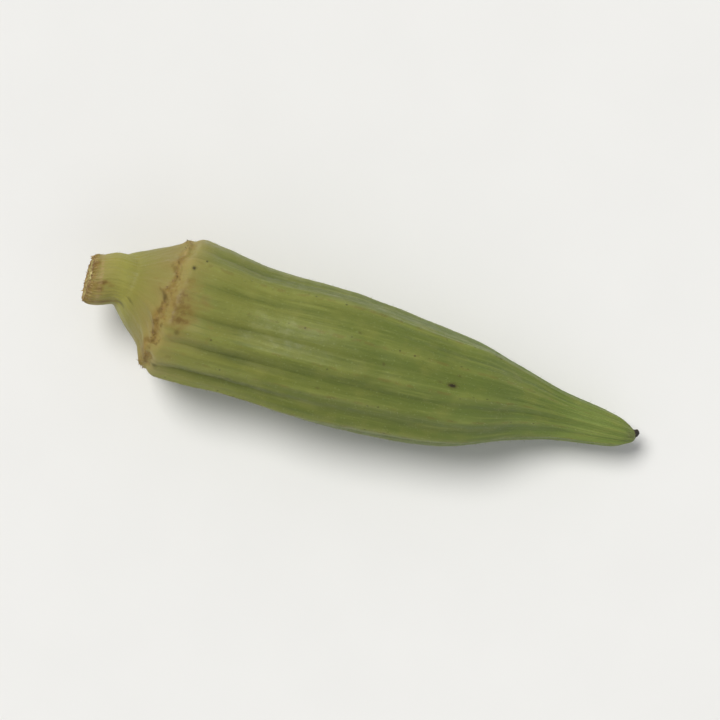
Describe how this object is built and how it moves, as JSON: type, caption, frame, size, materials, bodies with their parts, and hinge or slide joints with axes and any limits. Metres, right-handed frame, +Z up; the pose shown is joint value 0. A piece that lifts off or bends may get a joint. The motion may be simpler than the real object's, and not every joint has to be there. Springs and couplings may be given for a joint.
{
  "type": "okra pod",
  "caption": "Whole fresh okra pod with a short cut stalk, a calyx scar ring, a ribbed tapering body and a beaked tip, lying on its side.",
  "frame": {"origin": "middle of the pod's outline, on the surface it lies on", "axes": "+X along the pod from the stalk to the tip, +Z up"},
  "size_m": [0.0942, 0.0238, 0.0231],
  "materials": {
    "okra_skin": "fresh green plant skin, satin, with paler ribs and a fine down of short hairs",
    "okra_cut": "cut stalk: pale spongy pith inside a dry brown rim",
    "okra_dry": "dried brown plant tissue at the scar, the cut and the tip, matt"
  },
  "bodies": {
    "root": {"okra_pod": "okra_skin"}
  },
  "joints": []
}
